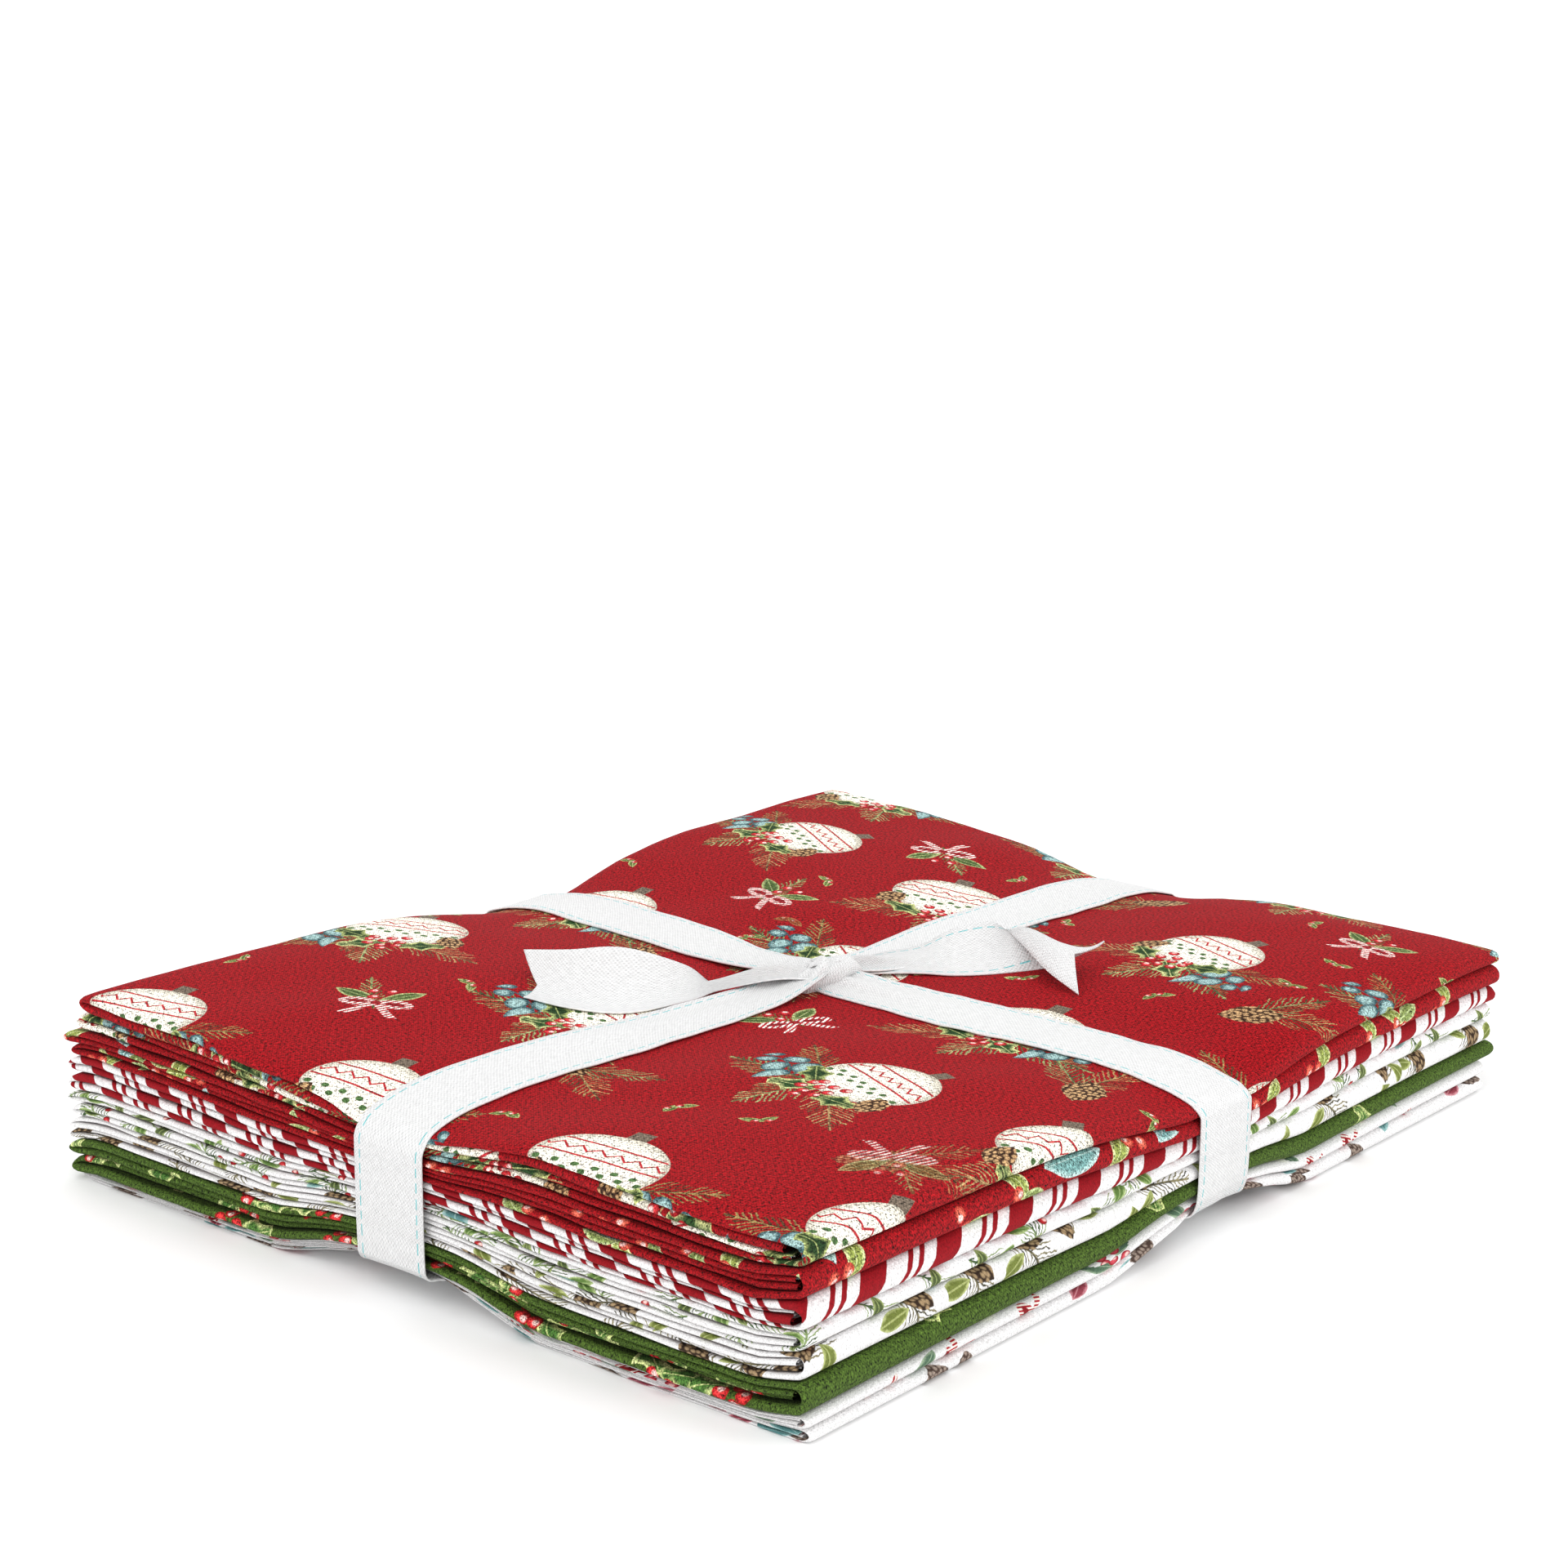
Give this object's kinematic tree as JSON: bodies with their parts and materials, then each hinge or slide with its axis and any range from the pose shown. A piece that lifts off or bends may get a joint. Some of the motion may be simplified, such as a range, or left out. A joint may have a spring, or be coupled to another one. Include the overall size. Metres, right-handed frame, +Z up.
{
  "type": "folded fabric bundle",
  "caption": "Stack of folded yard cuts of quilting cotton in holiday prints, tied both ways with a narrow woven tape knotted on top.",
  "frame": {"origin": "middle of the underside, where the lowest cut rests", "axes": "+X along the passes of each cut, from its small folds to its fat outer wrap; +Y along the folds; +Z up"},
  "size_m": [0.2326, 0.2886, 0.054],
  "materials": {
    "white_grey_cotton": "plain weave, white ground with a grey and teal print",
    "white_berries_cotton": "plain weave, white ground with a berry print",
    "green_holly_cotton": "plain weave, deep green ground with a holly print",
    "white_cones_cotton": "plain weave, white ground with a pine cone print",
    "white_sprigs_cotton": "plain weave, white ground with a green sprig print",
    "candy_stripe_cotton": "plain weave, white with deep red slanting stripes",
    "red_leaves_cotton": "plain weave, red ground with small leaves and berries",
    "red_ornaments_cotton": "plain weave, red ground with large ornaments and sprigs",
    "twill_tape": "matt cotton twill, white with a thin teal dash along each edge"
  },
  "bodies": {
    "root": {"cut_8_white_grey": "white_grey_cotton", "cut_7_white_berries": "white_berries_cotton", "cut_6_green_holly": "green_holly_cotton", "cut_5_white_cones": "white_cones_cotton", "cut_4_white_sprigs": "white_sprigs_cotton", "cut_3_candy_stripe": "candy_stripe_cotton", "cut_2_red_leaves": "red_leaves_cotton", "cut_1_red_ornaments": "red_ornaments_cotton", "tape_wrap_crosswise": "twill_tape", "tape_wrap_lengthwise": "twill_tape", "tape_knot": "twill_tape", "tape_tail_left": "twill_tape", "tape_tail_right": "twill_tape"}
  },
  "joints": []
}
